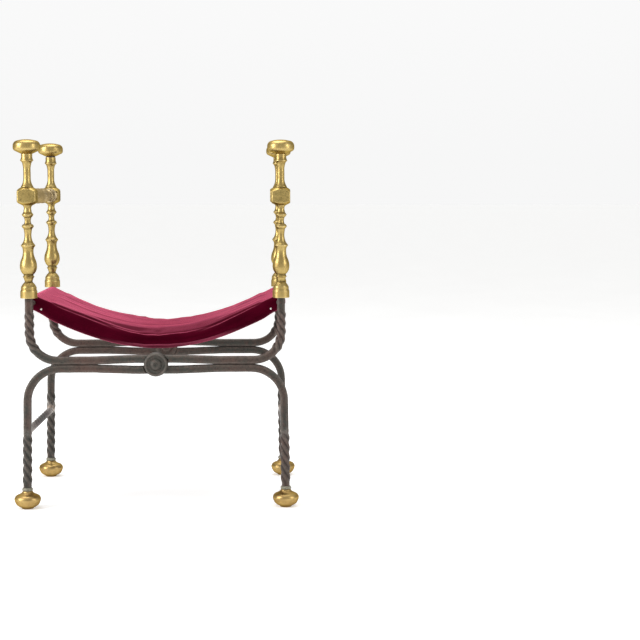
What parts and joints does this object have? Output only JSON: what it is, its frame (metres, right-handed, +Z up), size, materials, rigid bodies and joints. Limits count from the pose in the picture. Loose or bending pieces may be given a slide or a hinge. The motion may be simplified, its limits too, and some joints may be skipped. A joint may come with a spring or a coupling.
{
  "type": "folding X-frame armchair",
  "caption": "Folding X-frame armchair: twisted wrought-iron bars crossing at riveted pivots, turned brass posts, arm spindles and feet, and a sagging velvet sling seat.",
  "frame": {"origin": "On the floor, midway between the four feet.", "axes": "+X points to the left hand of a person in the chair; -Y is the front; +Z is up."},
  "size_m": [0.5706, 0.4038, 0.738],
  "materials": {
    "wrought_iron": "hammered and worn, brown-grey with traces of rust",
    "aged_brass": "satin, tarnished in the grooves",
    "solder": "dull grey with a green bloom",
    "weld_metal": "rough, light where it was filed",
    "tack_steel": "dull nickel",
    "velvet": "crimson pile with a strong sheen"
  },
  "bodies": {
    "left_arm_frame": {"front_left_bar": "wrought_iron", "front_left_baluster": "aged_brass", "front_left_block": "aged_brass", "front_left_knob": "aged_brass", "front_right_foot": "aged_brass", "front_right_foot_solder": "solder", "front_pivot_rosette": "wrought_iron", "front_pivot_rivet": "wrought_iron", "front_pivot_washer": "wrought_iron", "back_left_bar": "wrought_iron", "back_left_baluster": "aged_brass", "back_left_block": "aged_brass", "back_left_knob": "aged_brass", "back_right_foot": "aged_brass", "back_right_foot_solder": "solder", "back_pivot_rosette": "wrought_iron", "back_pivot_rivet": "wrought_iron", "back_pivot_washer": "wrought_iron", "back_left_knob_spacer": "wrought_iron", "left_arm_spindle": "aged_brass", "left_seat_rail": "wrought_iron", "right_stretcher": "wrought_iron", "right_stretcher_welds": "weld_metal", "seat_sling": "velvet", "left_sling_tacks": "tack_steel"},
    "right_arm_frame": {"front_right_bar": "wrought_iron", "front_right_baluster": "aged_brass", "front_right_block": "aged_brass", "front_right_knob": "aged_brass", "front_left_foot": "aged_brass", "front_left_foot_solder": "solder", "back_right_bar": "wrought_iron", "back_right_baluster": "aged_brass", "back_right_block": "aged_brass", "back_right_knob": "aged_brass", "back_left_foot": "aged_brass", "back_left_foot_solder": "solder", "right_arm_spindle": "aged_brass", "right_seat_rail": "wrought_iron", "left_stretcher": "wrought_iron", "left_stretcher_welds": "weld_metal", "right_sling_tacks": "tack_steel"}
  },
  "joints": [
    {"name": "fold", "type": "hinge", "parent": "left_arm_frame", "child": "right_arm_frame", "pos_m": [0, 0, 0.2895], "axis": [0, -1, 0], "range_deg": [0, 53], "deforming": ["seat_sling"]}
  ]
}
